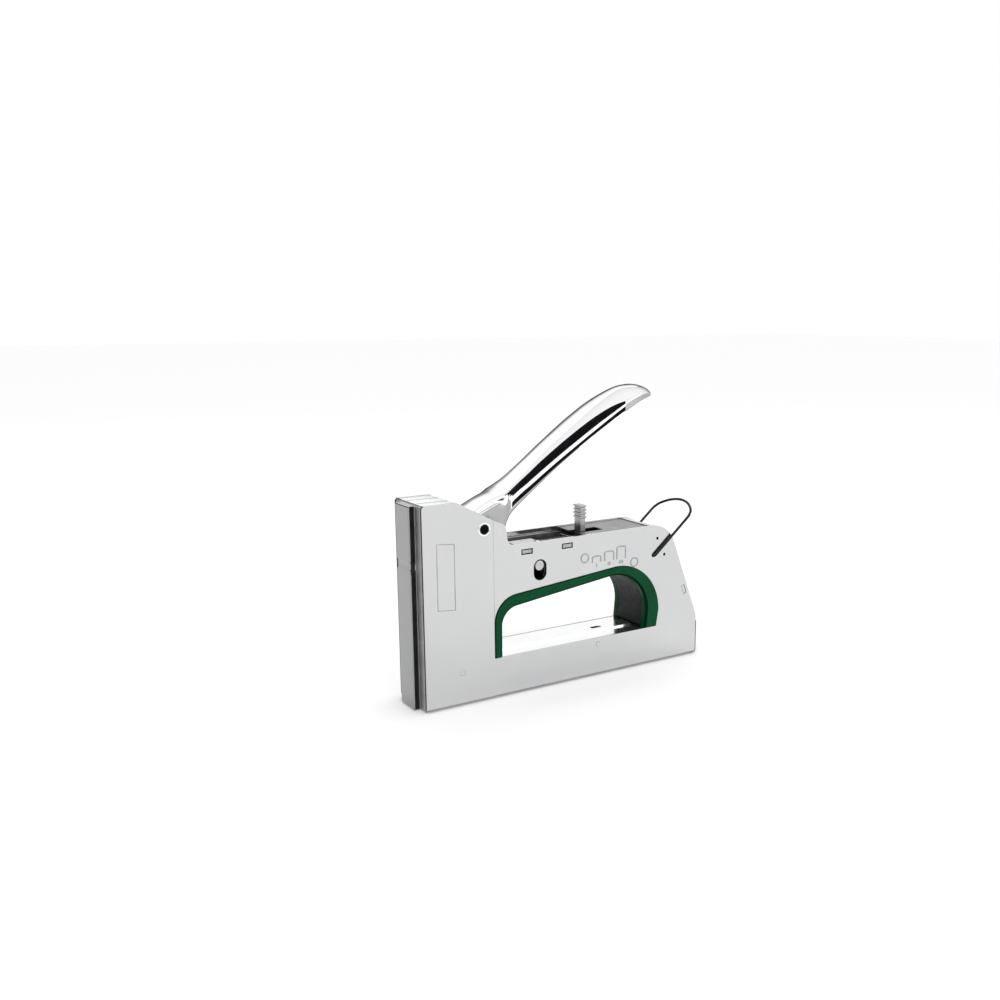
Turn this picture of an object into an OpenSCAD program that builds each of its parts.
// Squeeze-lever hand tacker: pressed steel body, chrome lever and plastic grip insert.
// Distances along x are counted from the nose cover, heights z from the base.

/* [Body] */
// Length from the nose cover to the rear end cap
overall_len = 180; // [174:1:218]
// Width over the two side plates
body_w = 30; // [28:1:37]
// Height of the front tower
tower_h = 105; // [100:1:127]
// Sheet thickness of the side plates
plate_t = 1.2; // [1:0.1:1.5]
// Height of the lower leg, up to the floor of the grip window
base_h = 21.5; // [20.5:0.1:26]
// Depth of the raised rib on the nose cover
rib_depth = 3.4; // [3:0.1:4]
// Width of the raised rib on the nose cover
rib_w = 15; // [14:0.5:17]

/* [Lever] */
// Width of the squeeze lever
lever_w = 24.5; // [22:0.5:25]
// Width of the squeeze lever at its waist, behind the neck
lever_waist = 18; // [16:0.5:22]
// Wall of the squeeze lever
lever_wall = 1.4; // [1.2:0.1:1.8]
// Diameter of the lever pivot pin
pivot_d = 5; // [4:0.5:6]
// Distance of the lifting roller ahead of the lever pivot
toe_reach = 22; // [21:0.5:23]
// Diameter of the lifting roller
roller_d = 6; // [5:0.5:6]

/* [Power train] */
// Diameter of the rocker pin that shows in the oval holes
rocker_pin_d = 5.5; // [5:0.5:6]
// Drop of the rocker pin over a full squeeze
rocker_drop = 4.5; // [4.3:0.1:5]
// Outer diameter of the main spring
main_spring_d = 14; // [12:0.5:15]
// Wire of the main spring
main_wire_d = 2; // [1.6:0.1:2.2]

/* [Magazine] */
// Crown width of the staples
crown_w = 10.6; // [8.8:0.1:11]
// Leg length of the staples
staple_leg = 10; // [6:1:10]
// Length of the loaded staple strip
strip_len = 60; // [30:1:66]

/* [Handle lock] */
// Wire diameter of the handle lock
lock_wire_d = 1.5; // [1.2:0.1:2]
// Reach of the handle lock from its pivot to its crossbar
lock_reach = 41.2; // [40:0.2:43]

/* [Hidden] */
$fn = 48;

// Fits and small distances
fit = 0.2;          // plain clearance between neighbouring pieces
slip = 0.05;        // radial clearance of a turning pin
cut = 1;            // how far a cutter runs past a face
sheet = 1.2;        // general sheet thickness of the inner pressings

// Heights and widths that follow the body
inner_w = body_w - 2 * plate_t;
cover_w = inner_w - 2 * fit;
leg_top = tower_h - 25;
plate_x = rib_depth;
plate_z = 1.5;
pivot_x = 37.7;
pivot_z = tower_h - 15;

// Grip window
window_x = 43;
window_r = 14;
window_top = leg_top - 25.8;
window_rear_x = overall_len - 59.5;
window_rear_r = 29;
window_rear_z = leg_top - 20 - window_rear_r;
window_foot_x = overall_len - 32;
grip_x = window_x + 4.6;
grip_r = 9.9;
grip_top = window_top - 6.5;
grip_rear_x = overall_len - 62;
grip_rear_r = 22.5;
grip_rear_z = leg_top - 25 - grip_rear_r;
grip_foot_x = overall_len - 40.5;
grip_lip = 0.6;     // how far the grip stands proud of each plate
tongue = 2;         // how far the grip reaches in between the plates
pad_t = 1.2;
pad_w = body_w - 8;

// Shoulder and rear of the side plates
shoulder_flat_x = 22.5;
shoulder_slope_x = 42.8;
shoulder_slope_drop = 10.9;
shoulder_r = 5;
shoulder_cx = 45.5;
shoulder_cz = tower_h - 17.5;
throat_r = 4;
throat_x = shoulder_cx + shoulder_r + 4.5;
rear_r = 17;
rear_cx = overall_len - 36;
rear_cz = leg_top - rear_r;
rear_lean = 20;
heel_x = overall_len - 2.6;
heel_r = 8;
heel_z = base_h + 0.5;

// Slots and holes in the side plates
tab_slots_x = [62.6, 87.4];
tab_slot_z = leg_top - 4.4;
tab_w = 6;
tab_h = 2.2;
rear_tab_h = 5;
rear_tab_w = 1.8;
rear_tab_z = leg_top - 39.9;

// Rocker: it turns on the fulcrum pin, and its front end lifts the striker
fulcrum_x = 56;
fulcrum_z = leg_top - 17;
fulcrum_d = 4;
rocker_w = 8;
rocker_nose_x = 12.9;
rocker_nose_r = 3;
rocker_pin_x = 70.3;
rocker_pin_z = leg_top - 12.9;
slot_centre_z = rocker_pin_z - rocker_drop / 2;
slot_w = rocker_pin_d + 2.3;

// Striker
striker_x = 6.5;
striker_t = 3;
striker_w = inner_w - 1.2;
striker_foot_z = fulcrum_z - 11;
toe_z = pivot_z - 10;
shelf_z = toe_z + roller_d / 2 + 0.4;
shelf_t = 3.6;
shelf_w = 13;
jaw_gap = 0.5;
jaw_t = 4;
blade_x = 1.7;
blade_t = 1.2;
blade_w = crown_w - 0.4;
blade_foot_z = 0.3;
blade_top_z = fulcrum_z + 5;

// Main spring train
spring_z = leg_top - 10;
plunger_x = 79;
plunger_t = 2;
adjuster_x = 105.5;
adjuster_z = leg_top - 9;
cam_r = 4.5;
cam_drop = 5.5;
seat_gap = 0.4;
seat_t = 2.4;
seat_x = adjuster_x - cam_r - seat_gap - seat_t;
tab_top = leg_top + 14.5;
tab_t = 3.2;
tab_across = 6;
tab_ribs = 4;
adjuster_pin_d = 3;
driver_rivet_d = 4;
frame_w = cover_w - 1;
frame_wall = 1.5;
frame_x = 49;
frame_end_x = 112;
frame_floor_x = 76;
frame_floor_end = 90;
frame_top = leg_top - 2.6;
frame_floor_z = leg_top - 19;

// Covers
cap_t = 1.2;
leg_cover_x = 101;
leg_cover_z = leg_top - 2.2;
leg_cover_end = rear_cx - fit;
adjuster_slot_w = 8.4;
adjuster_slot_end = 118;
nose_t = 1.5;
guide_top = striker_foot_z - 7.5;
cap_x0 = rib_depth + nose_t + 0.1;
cap_end = 31;
strip_w = 9.4;
drain_x = overall_len - 63.4;

// Magazine
tray_t = 1.2;
tray_w = 24;
crown_z = 2 + staple_leg;
core_w = crown_w - 2.4;
core_top = crown_z - 1.1;
core_wall = 1;
strip_x = 3.5;
strip_end = strip_x + strip_len;
wire_t = 0.9;
channel_gap = 0.3;
channel_x = 6.6;
channel_end = overall_len - 10;
channel_t = 1.2;
channel_z = crown_z + 0.6;
rod_z = 6;
rod_d = 1.8;
pusher_len = 12;
cap_x = overall_len - 9;
cap_top = base_h - 2.2;
pusher_spring_d = core_w - 2 * core_wall - 1.6;
catch_w = 8;
catch_x1 = overall_len - 4;
catch_foot_z = cap_top - 4;

// Rivets that hold the lower cover
rivet_d = 3;
rivet_x = [24, 108];
rivet_z = (channel_z + channel_t + base_h) / 2;

// Handle lock
lock_x = overall_len - 35;
lock_z = leg_top - 17.3;
lock_lean = 40;
lock_y = body_w / 2 + lock_wire_d / 2 + 0.3;
lock_bow = 8.2;
lock_hole_d = lock_wire_d + 2 * slip;
lock_corner = 3;
bow_r = (lock_y * lock_y + lock_bow * lock_bow) / (2 * lock_bow);
bow_half = asin(lock_y / bow_r);

// Lift plates inside the lever
lift_t = 2;
lift_mid = lever_w / 2 - lever_wall - 0.1 - lift_t / 2;
lift_rivet_d = 3;
rivet_points = [[8.6, 5.2], [-11, -4.6]];
toe = [-toe_reach, -10];
toe_pin_d = 3;

// Points along an arc of a circle, angles in degrees
function arc(cx, cz, r, from, to, n = 8) =
    [for (i = [0:n]) let (a = from + (to - from) * i / n) [cx + r * cos(a), cz + r * sin(a)]];

// Outline of an opening with a rounded front top corner and a large round rear top corner
function window_outline(x, r, top, rear_x, rear_z, rear_r, foot_x, foot_z, grow = 0) = concat(
    [[x - grow, foot_z]],
    arc(x + r, top - r, r + grow, 180, 96, 14),
    arc(rear_x, rear_z, rear_r + grow, 96, 0, 28),
    [[foot_x + grow, foot_z]]
);
function body_window(foot_z, grow = 0) = window_outline(window_x, window_r, window_top,
    window_rear_x, window_rear_z, window_rear_r, window_foot_x, foot_z, grow);
function grip_window(foot_z, grow = 0) = window_outline(grip_x, grip_r, grip_top,
    grip_rear_x, grip_rear_z, grip_rear_r, grip_foot_x, foot_z, grow);

// Rear edge from the leg's top round to the heel, pulled in by inset
function rear_edge(inset) = concat(
    arc(rear_cx, rear_cz, rear_r - inset, 90, rear_lean, 18),
    arc(heel_x - heel_r, heel_z, heel_r - inset, rear_lean, 0, 5)
);

// Side plate outline
function plate_outline() = concat(
    [[plate_x, plate_z], [plate_x, tower_h - 1.2], [plate_x + 1.2, tower_h], [shoulder_flat_x, tower_h]],
    [[shoulder_slope_x, tower_h - shoulder_slope_drop]],
    arc(shoulder_cx, shoulder_cz, shoulder_r, 75, 0, 10),
    arc(throat_x, leg_top + throat_r, throat_r, 180, 270, 10),
    rear_edge(0),
    [[heel_x, plate_z]]
);

// Everything is centred along x on the origin
module placed() translate([-overall_len / 2, 0, 0]) children();

// A profile drawn in x and z, given thickness t across the body about y = mid
module across(t, mid = 0) translate([0, mid + t / 2, 0]) rotate([90, 0, 0]) linear_extrude(t) children();

// A round bar across the body
module bar_y(x, z, d, len, mid = 0)
    translate([x, mid, z]) rotate([90, 0, 0]) cylinder(d = d, h = len, center = true);

// A round bar along the body
module bar_x(x, z, d, len, y = 0) translate([x, y, z]) rotate([0, 90, 0]) cylinder(d = d, h = len);

// A block from low to high corner in x and z, centred across the body
module block(x0, x1, z0, z1, w, mid = 0) translate([x0, mid - w / 2, z0]) cube([x1 - x0, w, z1 - z0]);

// A coil of round wire along +z, with closed ends
module coil(d, wire, length, turns, steps = 20, sides = 8) {
    rings = turns * steps;
    rise = length - wire;
    points = [for (i = [0:rings]) for (j = [0:sides - 1]) let (
        a = 360 * i / steps,
        b = 360 * j / sides,
        r = (d - wire) / 2 + wire / 2 * cos(b)
    ) [r * cos(a), r * sin(a), wire / 2 + rise * i / rings + wire / 2 * sin(b)]];
    near = [for (i = [0:rings - 1]) for (j = [0:sides - 1])
        [i * sides + j, (i + 1) * sides + j, (i + 1) * sides + (j + 1) % sides]];
    far = [for (i = [0:rings - 1]) for (j = [0:sides - 1])
        [i * sides + j, (i + 1) * sides + (j + 1) % sides, i * sides + (j + 1) % sides]];
    start = [for (j = [0:sides - 1]) j];
    finish = [for (j = [sides - 1:-1:0]) rings * sides + j];
    polyhedron(points, concat(near, far, [start, finish]), convexity = 10);
}

// ---- Pressed body ----

module side_plate() {
    difference() {
        across(plate_t) polygon(plate_outline());
        across(plate_t + 2 * cut) polygon(body_window(base_h));
        bar_y(pivot_x, pivot_z, pivot_d + 2 * slip, plate_t + 2 * cut);
        rocker_slot();
        for (x = tab_slots_x)
            block(x - tab_w / 2 - fit, x + tab_w / 2 + fit, tab_slot_z - tab_h / 2 - fit,
                tab_slot_z + tab_h / 2 + fit, plate_t + 2 * cut);
        rear_tab(plate_t + 2 * cut, fit);
        bar_y(lock_x, lock_z, lock_hole_d, plate_t + 2 * cut);
        for (x = rivet_x) bar_y(x, rivet_z, rivet_d, plate_t + 2 * cut);
    }
}

// Oval hole that the rocker pin travels in
module rocker_slot() {
    reach = (rocker_drop - 1.1) / 2;
    for (side = [-1, 1])
        bar_y(rocker_pin_x + 0.2, slot_centre_z + side * reach, slot_w, plate_t + 2 * cut);
    block(rocker_pin_x + 0.2 - slot_w / 2, rocker_pin_x + 0.2 + slot_w / 2,
        slot_centre_z - reach, slot_centre_z + reach, plate_t + 2 * cut);
}

// Tab of the rear cover, leaning with the rear edge
module rear_tab(w, grow = 0) {
    lean_top = rear_cz + rear_r * sin(rear_lean);
    edge_x = rear_cx + rear_r * cos(rear_lean) + (lean_top - rear_tab_z) * tan(rear_lean);
    translate([edge_x - 2.6, 0, rear_tab_z]) rotate([0, -rear_lean, 0])
        cube([rear_tab_w + 2 * grow, w, rear_tab_h + 2 * grow], center = true);
}

module side_plate_left() placed() color([0.82, 0.83, 0.84])
    translate([0, -(body_w - plate_t) / 2, 0]) side_plate();

module side_plate_right() placed() color([0.82, 0.83, 0.84])
    translate([0, (body_w - plate_t) / 2, 0]) side_plate();

// Hat-section cover; the driver blade runs in the hollow behind its rib
module nose_cover() placed() color([0.7, 0.71, 0.73]) difference() {
    union() {
        block(0, rib_depth + nose_t, 0, tower_h - 0.8, rib_w);
        block(rib_depth, rib_depth + nose_t, 0, tower_h - 0.8, cover_w);
    }
    block(nose_t, rib_depth + nose_t + cut, -cut, tower_h - 3, rib_w - 2 * nose_t);
}

// Plate behind the driver, with a mouth for the staples at its foot
module driver_guide() placed() color([0.55, 0.55, 0.57]) {
    back_x = rib_depth + nose_t + 0.1;
    foot_z = channel_z + channel_t + 0.1;
    block(back_x, back_x + sheet, foot_z, guide_top, cover_w);
    block(blade_x + blade_t + 0.15, back_x, foot_z, guide_top, rib_w - 2 * nose_t - 2 * fit);
}

// Plate that closes the tower between the side plates
module tower_cap() placed() color([0.9, 0.9, 0.9]) {
    slope = shoulder_slope_drop / (shoulder_slope_x - shoulder_flat_x);
    end_z = tower_h - 0.3 - (cap_end - shoulder_flat_x) * slope;
    across(cover_w) polygon([
        [cap_x0, tower_h - 0.3 - cap_t], [cap_x0, tower_h - 0.3], [shoulder_flat_x, tower_h - 0.3],
        [cap_end, end_z], [cap_end, end_z - cap_t], [shoulder_flat_x, tower_h - 0.3 - cap_t]
    ]);
}

// Strip that closes the upper leg behind the force adjuster
module leg_cover() placed() color([0.55, 0.56, 0.58]) difference() {
    block(leg_cover_x, leg_cover_end, leg_cover_z, leg_cover_z + sheet, cover_w);
    slot_top = leg_cover_z + sheet + cut;
    block(leg_cover_x - cut, adjuster_slot_end, leg_cover_z - cut, slot_top, adjuster_slot_w);
}

// Strip that closes the rear edge
module rear_cover() placed() color([0.75, 0.76, 0.78]) {
    outer = rear_edge(0.6);
    inner = rear_edge(0.6 + sheet);
    across(cover_w) polygon(concat(outer, [for (i = [len(inner) - 1:-1:0]) inner[i]]));
    rear_tab(body_w - 0.2);
}

// Inverted channel that roofs the lower leg, with a raised strip along its middle
module lower_cover() placed() color([0.85, 0.86, 0.87]) {
    x0 = rib_depth + nose_t + 2;
    x1 = overall_len - 8;
    difference() {
        union() {
            block(x0, x1, channel_z + channel_t + 0.1, base_h - 0.1, cover_w);
            block(window_x + 6, window_foot_x - 10, base_h - cut, base_h + 0.7, strip_w);
        }
        block(x0 - cut, x1 + cut, channel_z + channel_t, base_h - 0.1 - sheet, cover_w - 2 * sheet);
        translate([drain_x, 0, base_h]) oval_cutter();
        for (x = rivet_x) bar_y(x, rivet_z, rivet_d, body_w);
    }
}
module oval_cutter() {
    for (side = [-1, 1]) translate([side * 2, 0, 0]) cylinder(d = 3, h = 10, center = true);
    cube([4, 3, 10], center = true);
}

// Channel that the staples run in
module magazine_channel() placed() color([0.6, 0.6, 0.62]) {
    side = crown_w / 2 + channel_gap;
    block(channel_x, channel_end, channel_z, channel_z + channel_t, cover_w);
    for (s = [-1, 1])
        block(channel_x, channel_end, tray_t + 0.4, channel_z + 0.01, channel_t, s * (side + channel_t / 2));
}

// Rivets through both plates that hold the lower cover
module frame_rivets() placed() color([0.7, 0.7, 0.72])
    for (x = rivet_x) bar_y(x, rivet_z, rivet_d - 2 * slip, body_w + 0.4);

// Channel between the plates that carries the rocker, the main spring and the adjuster
module mechanism_frame() placed() color([0.6, 0.62, 0.64]) difference() {
    union() {
        for (s = [-1, 1]) {
            mid = s * (frame_w - frame_wall) / 2;
            across(frame_wall, mid) polygon([
                [frame_x, fulcrum_z - 4], [frame_x, frame_top], [frame_end_x, frame_top],
                [frame_end_x, frame_floor_z + 3], [seat_x, frame_floor_z], [frame_floor_x, frame_floor_z],
                [fulcrum_x + 5, fulcrum_z - 4]
            ]);
            for (x = tab_slots_x)
                block(x - tab_w / 2, x + tab_w / 2, tab_slot_z - tab_h / 2, tab_slot_z + tab_h / 2,
                    (body_w - 0.2 - frame_w) / 2 + 1, s * (body_w - 0.2 + frame_w - 2) / 4);
        }
        block(frame_floor_x, frame_floor_end, frame_floor_z, frame_floor_z + sheet, frame_w - 0.5);
    }
    bar_y(fulcrum_x, fulcrum_z, fulcrum_d + 2 * slip, body_w);
    bar_y(adjuster_x, adjuster_z, adjuster_pin_d + 2 * slip, body_w);
    for (z = [rocker_pin_z, rocker_pin_z - rocker_drop])
        bar_y(rocker_pin_x + 0.2, z, slot_w, body_w);
    block(rocker_pin_x + 0.2 - slot_w / 2, rocker_pin_x + 0.2 + slot_w / 2,
        rocker_pin_z - rocker_drop, rocker_pin_z, body_w);
}

// ---- Grip ----

module grip_insert() placed() color([0.05, 0.3, 0.18]) difference() {
    union() {
        across(body_w + 2 * grip_lip) polygon(body_window(base_h + 0.1, -0.15));
        across(cover_w - 0.2) polygon(body_window(base_h + 0.1, tongue));
    }
    across(body_w + 4 * cut) polygon(grip_window(base_h - cut));
    across(pad_w + 2 * fit) polygon(grip_window(base_h - cut, pad_t + 0.1));
}

module grip_pad() placed() color([0.08, 0.08, 0.08]) difference() {
    across(pad_w) polygon(grip_window(base_h + 1, pad_t));
    across(pad_w + 2 * cut) polygon(grip_window(base_h - cut));
}

// ---- Lever ----

// Outline of the lever about its pivot, from the neck over the crown to the tip and back
lever_top = [[-6.5, 6.5], [-2, 9.5], [4, 13.3], [14.5, 17.4], [22, 23], [36.9, 34.2], [60.1, 50.6],
    [80.6, 62.5], [90, 66.4], [97, 67.8], [104, 67.2], [109.5, 65.2], [113, 62.2]];
lever_bottom = [[112.6, 60.6], [105, 60.4], [89.7, 52.4], [64.9, 37.2], [41, 20.8], [25.5, 10.5],
    [17, 2.5], [13, -4.5], [8, -8.6], [0, -9.4], [-6.5, -6.5], [-9, 0]];
// Hollow of the lever, a wall below its crown and open underneath
lever_hollow = [[-20, 4.7], [-6.5, 4.7], [-2, 7.6], [4, 11.5], [15, 15.7], [23, 21.5], [37.8, 32.5],
    [61, 48.8], [81.3, 60.6], [90.5, 64.5], [97.1, 65.9], [103.6, 65.4], [108.5, 63.6], [110, 62], [108, 50], [0, -40],
    [-20, -20]];

// Plan of the lever: wide neck, waist, wide palm and a rounded tip, pulled in by inset
function lever_plan(inset) = let (w = lever_w / 2 - inset, waist = lever_waist / 2 - inset, half = [
    [-20, w], [13, w], [18, (w + waist) / 2], [25, waist + 0.2], [36, waist], [47, waist + 0.7],
    [62, w - 1.3], [76, w - 0.2], [94, w - 0.2], [102, w - 1.5], [107, w - 3.5], [111, w - 6.5], [114, w - 10]
]) concat(half, [for (i = [len(half) - 1:-1:0]) [half[i][0], -half[i][1]]]);
module lever_form(outline, inset) intersection() {
    across(lever_w - 2 * inset) polygon(outline);
    translate([0, 0, -50]) linear_extrude(150) polygon(lever_plan(inset));
}

module at_pivot() translate([pivot_x, 0, pivot_z]) children();

module lever_handle() placed() color([0.9, 0.9, 0.92]) at_pivot() difference() {
    lever_form(concat(lever_top, lever_bottom), 0);
    lever_form(lever_hollow, lever_wall);
    bar_y(0, 0, pivot_d + 2 * slip, lever_w + 2 * cut);
}

// Twin plates inside the neck; they carry the lifting roller ahead of the pivot
module lift_plates() placed() color([0.5, 0.5, 0.52]) at_pivot() for (s = [-1, 1]) difference() {
    union() {
        across(lift_t, s * lift_mid) polygon([
            [toe[0] - 1, toe[1] + 3.4], [-4, 5.6], [4, 7.6], [10.5, 10.5], [12.8, 7], [11.5, 0.5],
            [8, -3], [2, -7.8], [toe[0] + 1, toe[1] - 3.4]
        ]);
        bar_y(toe[0], toe[1], 7.2, lift_t, s * lift_mid);
    }
    bar_y(0, 0, pivot_d + 2 * slip, body_w);
    bar_y(toe[0], toe[1], toe_pin_d + 2 * slip, body_w);
    for (p = rivet_points) bar_y(p[0], p[1], lift_rivet_d, body_w);
}

// Spacer rivets that tie the two lift plates together
module lift_rivets() placed() color([0.75, 0.75, 0.77]) at_pivot() for (p = rivet_points)
    bar_y(p[0], p[1], lift_rivet_d - 2 * slip, 2 * lift_mid + lift_t);

module lever_pivot_pin() placed() color([0.15, 0.15, 0.16]) at_pivot() bar_y(0, 0, pivot_d, body_w + 0.6);

module pivot_washers() placed() color([0.7, 0.7, 0.7]) at_pivot() for (s = [-1, 1]) {
    gap = (inner_w - lever_w) / 2;
    difference() {
        bar_y(0, 0, pivot_d + 4, gap - 0.3, s * (lever_w + gap) / 2);
        bar_y(0, 0, pivot_d + 2 * slip, gap + cut, s * (lever_w + gap) / 2);
    }
}

// Torsion spring round the pivot pin
module lever_return_spring() placed() color([0.4, 0.4, 0.42]) at_pivot() {
    width = 2 * (lift_mid - lift_t / 2) - 4;
    translate([0, width / 2, 0]) rotate([90, 0, 0]) coil(pivot_d + 4, 1.2, width, 8);
}

module lift_roller() placed() color([0.6, 0.6, 0.62]) at_pivot() difference() {
    bar_y(toe[0], toe[1], roller_d, 2 * (lift_mid - lift_t / 2) - 2 * fit);
    bar_y(toe[0], toe[1], toe_pin_d + 2 * slip, body_w);
}

module roller_pin() placed() color([0.75, 0.75, 0.77]) at_pivot()
    bar_y(toe[0], toe[1], toe_pin_d, 2 * lift_mid + lift_t);

// ---- Striker ----

module striker() placed() color([0.45, 0.45, 0.47]) difference() {
    back = striker_x + striker_t;
    jaw_half = rocker_nose_r + jaw_gap;
    union() {
        block(striker_x, back, striker_foot_z, shelf_z + shelf_t, striker_w);
        block(striker_x, pivot_x - toe_reach + 5, shelf_z, shelf_z + shelf_t, shelf_w);
        block(striker_x, rocker_nose_x + 1.6, fulcrum_z - jaw_half - jaw_t,
            fulcrum_z + jaw_half + jaw_t, rocker_w + 6);
        block(blade_x + blade_t + 0.05, back, fulcrum_z - 5, fulcrum_z + 5, blade_w - 1.6);
    }
    block(back, rocker_nose_x + 5, fulcrum_z - jaw_half, fulcrum_z + jaw_half, body_w);
    bar_x(0, fulcrum_z, driver_rivet_d, 20);
}

module driver_blade() placed() color([0.65, 0.66, 0.68]) difference() {
    block(blade_x, blade_x + blade_t, blade_foot_z, blade_top_z, blade_w);
    bar_x(0, fulcrum_z, driver_rivet_d, 20);
}

module driver_rivet() placed() color([0.75, 0.75, 0.77])
    bar_x(blade_x, fulcrum_z, driver_rivet_d - 2 * slip, striker_x + striker_t - blade_x - 0.1);

module bumper() placed() color([0.1, 0.1, 0.1])
    block(striker_x, striker_x + 12, striker_foot_z - 5.4, striker_foot_z - 0.4, 18);

module bumper_bracket() placed() color([0.5, 0.5, 0.52]) {
    top = striker_foot_z - 5.5;
    block(striker_x, striker_x + 24, top - sheet, top, cover_w);
    block(striker_x + 24 - sheet, striker_x + 24, top - 9, top, cover_w);
}

// ---- Rocker and main spring ----

module rocker_arm() placed() color([0.5, 0.5, 0.52]) difference() {
    union() {
        bar_y(rocker_nose_x, fulcrum_z, 2 * rocker_nose_r, rocker_w);
        across(rocker_w) polygon([
            [rocker_nose_x, fulcrum_z - 2], [rocker_nose_x, fulcrum_z + 2],
            [rocker_nose_x + 8, fulcrum_z + 3], [fulcrum_x - 10, fulcrum_z + 6],
            [fulcrum_x, fulcrum_z + 13.5], [fulcrum_x + 6, fulcrum_z + 13.5],
            [fulcrum_x + 7.3, fulcrum_z + 9], [rocker_pin_x + 1, rocker_pin_z + 4.2],
            [rocker_pin_x + 4.5, rocker_pin_z - 1.5], [rocker_pin_x, rocker_pin_z - 4],
            [fulcrum_x + 4, fulcrum_z - 5], [fulcrum_x - 4, fulcrum_z - 5], [rocker_nose_x + 8, fulcrum_z - 3]
        ]);
    }
    bar_y(fulcrum_x, fulcrum_z, fulcrum_d + 2 * slip, body_w);
    bar_y(rocker_pin_x, rocker_pin_z, rocker_pin_d, body_w);
}

module rocker_pin() placed() color([0.85, 0.85, 0.87])
    bar_y(rocker_pin_x, rocker_pin_z, rocker_pin_d - 2 * slip, body_w - 0.4);

module fulcrum_pin() placed() color([0.75, 0.75, 0.77])
    bar_y(fulcrum_x, fulcrum_z, fulcrum_d, frame_w);

// Plunger that the rocker's horn pushes back against the main spring
module spring_plunger() placed() color([0.85, 0.85, 0.87]) {
    horn_x = fulcrum_x + 7.6;
    across(16) polygon([
        [horn_x, leg_top - 3.6], [horn_x, leg_top - 7.4], [plunger_x - 8, leg_top - 7.4],
        [plunger_x - 1, leg_top - 9.5], [plunger_x, leg_top - 9.5], [plunger_x, leg_top - 3.6]
    ]);
    bar_x(plunger_x - plunger_t, spring_z, main_spring_d - 0.4, plunger_t);
    bar_x(plunger_x - plunger_t, spring_z, main_spring_d - 2 * main_wire_d - 0.8, plunger_t + 5);
}

module main_spring() placed() color([0.35, 0.35, 0.37])
    translate([plunger_x + 0.1, 0, spring_z]) rotate([0, 90, 0])
        coil(main_spring_d, main_wire_d, seat_x - plunger_x - 0.2, 5, 24);

module spring_seat() placed() color([0.85, 0.85, 0.87]) {
    block(seat_x, seat_x + seat_t, frame_floor_z + sheet + 0.6, leg_top - 3.4, 18);
    bar_x(seat_x - 4, spring_z, main_spring_d - 2 * main_wire_d - 0.8, 4 + seat_t);
}

// Ribbed thumb tab above a cam that turns on its own pin
module force_adjuster() placed() color([0.6, 0.61, 0.63]) difference() {
    union() {
        bar_y(adjuster_x, adjuster_z - cam_drop, 2 * cam_r, tab_across);
        block(adjuster_x - tab_t / 2, adjuster_x + tab_t / 2, adjuster_z - cam_drop, tab_top - 1, tab_across);
        bar_y(adjuster_x, adjuster_z, 6.4, tab_across);
        for (i = [0:tab_ribs - 1])
            block(adjuster_x - tab_t / 2 - 0.5, adjuster_x + tab_t / 2 + 0.5,
                tab_top - 2 - 2 * i, tab_top - 1 - 2 * i, tab_across + 1);
    }
    bar_y(adjuster_x, adjuster_z, adjuster_pin_d + 2 * slip, body_w);
}

module adjuster_pin() placed() color([0.75, 0.75, 0.77])
    bar_y(adjuster_x, adjuster_z, adjuster_pin_d, frame_w);

// ---- Handle lock ----

// Half of the wire's route in its own plane: out through the plate, along the leg and over the bow
function lock_route() = let (
    corner_r = lock_reach - lock_bow,
    right = concat(
        [[0, body_w / 2 - plate_t - 0.8], [0, lock_y - 0.9], [0.3, lock_y - 0.25], [0.9, lock_y]],
        [[corner_r - lock_corner, lock_y], [corner_r - 0.8, lock_y - 0.3]],
        [for (i = [1:8]) let (a = bow_half * (1 - i / 8) * 0.9)
            [lock_reach - bow_r + bow_r * cos(a), bow_r * sin(a)]]
    )
) concat(right, [for (i = [len(right) - 2:-1:0]) [right[i][0], -right[i][1]]]);

// A round wire swept along points [r, y] of one plane
module wire(route, d, sides = 10) {
    n = len(route);
    function along(i) = let (p = route[max(i - 1, 0)], q = route[min(i + 1, n - 1)]) (q - p) / norm(q - p);
    points = [for (i = [0:n - 1]) let (t = along(i)) for (j = [0:sides - 1]) let (b = 360 * j / sides)
        [route[i][0] - t[1] * d / 2 * cos(b), route[i][1] + t[0] * d / 2 * cos(b), d / 2 * sin(b)]];
    walls = [for (i = [0:n - 2]) for (j = [0:sides - 1]) let (k = (j + 1) % sides)
        [i * sides + j, (i + 1) * sides + j, (i + 1) * sides + k, i * sides + k]];
    start = [for (j = [0:sides - 1]) j];
    finish = [for (j = [sides - 1:-1:0]) (n - 1) * sides + j];
    polyhedron(points, concat(walls, [start, finish]), convexity = 10);
}

module handle_lock() placed() color([0.2, 0.2, 0.22])
    translate([lock_x, 0, lock_z]) rotate([0, -lock_lean, 0]) wire(lock_route(), lock_wire_d);

// ---- Magazine ----

// Core rail on a tray; it pulls out backwards
module magazine_rail() placed() color([0.8, 0.81, 0.82]) difference() {
    union() {
        block(channel_x, cap_x, 0, tray_t, tray_w);
        block(strip_x, channel_x + 1, 0, tray_t, core_w);
        block(strip_x, cap_x, 0, core_top, core_w);
    }
    block(strip_x - cut, cap_x + cut, tray_t + 0.2, core_top - core_wall, core_w - 2 * core_wall);
    block(strip_end - 40, cap_x + cut, core_top - 2 * core_wall, core_top + cut, 3);
}

module end_cap() placed() color([0.2, 0.2, 0.21]) difference() {
    union() {
        block(cap_x, overall_len, 0, cap_top, tray_w - 1);
        block(overall_len - 3, overall_len, 0, cap_top, cover_w - 1);
    }
    block(cap_x - cut, catch_x1 + 0.3, catch_foot_z - 3.2, cap_top + cut, catch_w + 0.6);
}

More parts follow.
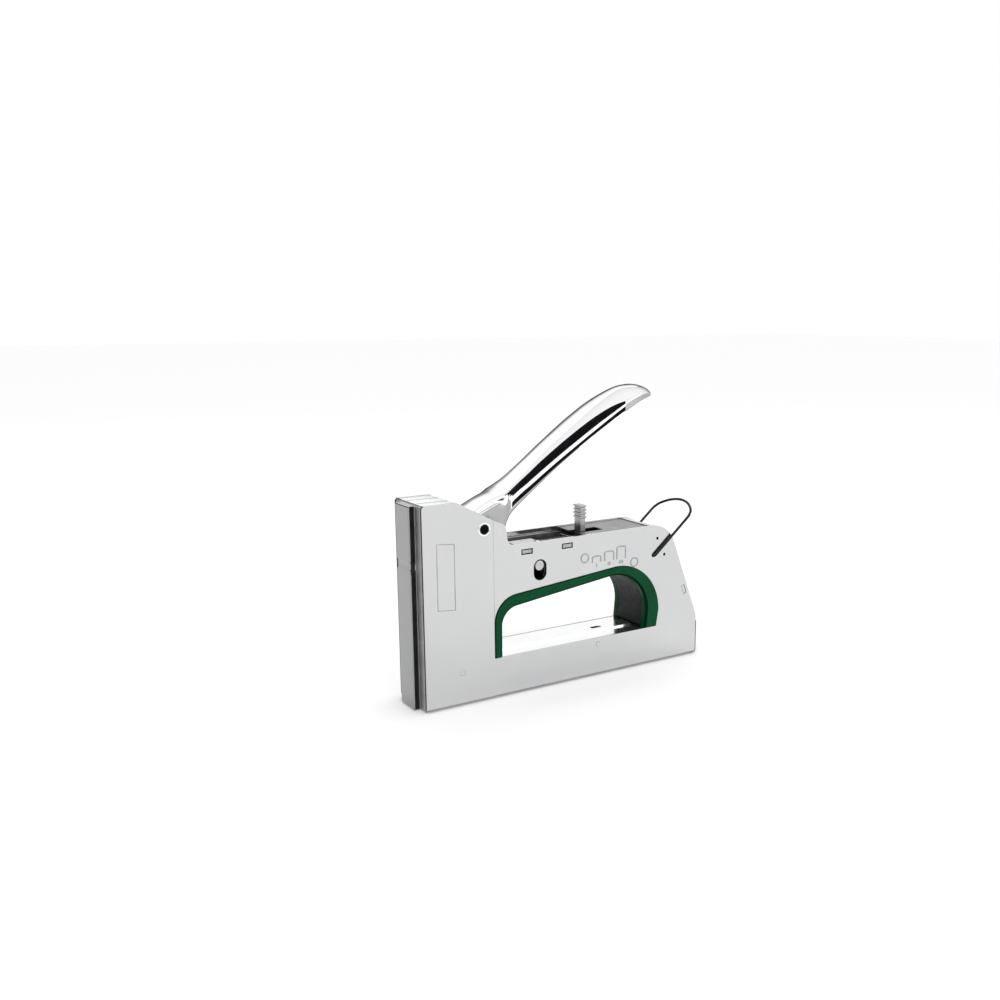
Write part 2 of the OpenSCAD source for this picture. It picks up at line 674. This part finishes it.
module magazine_catch() placed() color([0.75, 0.76, 0.78]) {
    block(cap_x + 0.4, catch_x1, catch_foot_z, cap_top, catch_w);
    block(cap_x + 0.4, cap_x + 3, cap_top, base_h - 1.45, catch_w - 2);
}

module catch_spring() placed() color([0.4, 0.4, 0.42])
    translate([cap_x + 3.4, 0, catch_foot_z - 3.2]) coil(3.6, 0.6, 3.1, 3);

// Staples astride the core, one block of glued wires
module staple_strip() placed() color([0.75, 0.75, 0.72]) difference() {
    block(strip_x, strip_end, crown_z - staple_leg, crown_z, crown_w);
    block(strip_x - cut, strip_end + cut, crown_z - staple_leg - cut, crown_z - wire_t, crown_w - 2 * wire_t);
}

module staple_pusher() placed() color([0.5, 0.5, 0.52]) {
    x0 = strip_end + 0.1;
    difference() {
        block(x0, x0 + pusher_len, crown_z - 7, crown_z, crown_w);
        block(x0 - cut, x0 + pusher_len + cut, -cut, crown_z - wire_t, crown_w - 2 * wire_t);
    }
    difference() {
        union() {
            block(x0 + 1, x0 + 4, rod_z, crown_z - 0.5, 2.4);
            bar_x(x0 + 1, rod_z, pusher_spring_d, 3);
        }
        bar_x(x0, rod_z, rod_d + 0.2, 8);
    }
}

module pusher_rod() placed() color([0.75, 0.75, 0.77])
    bar_x(strip_end - 30, rod_z, rod_d, cap_x - strip_end + 30);

module pusher_spring() placed() color([0.4, 0.4, 0.42])
    translate([strip_end + 4.3, 0, rod_z]) rotate([0, 90, 0])
        coil(pusher_spring_d, 0.6, cap_x - strip_end - 4.5, 26, 12, 6);

side_plate_left();
side_plate_right();
nose_cover();
driver_guide();
tower_cap();
leg_cover();
rear_cover();
lower_cover();
magazine_channel();
mechanism_frame();
grip_insert();
grip_pad();
lever_handle();
lift_plates();
lift_rivets();
lever_pivot_pin();
pivot_washers();
lever_return_spring();
lift_roller();
roller_pin();
striker();
driver_blade();
driver_rivet();
bumper();
bumper_bracket();
rocker_arm();
rocker_pin();
fulcrum_pin();
spring_plunger();
main_spring();
spring_seat();
force_adjuster();
adjuster_pin();
handle_lock();
magazine_rail();
end_cap();
magazine_catch();
catch_spring();
staple_strip();
staple_pusher();
pusher_spring();
pusher_rod();
frame_rivets();
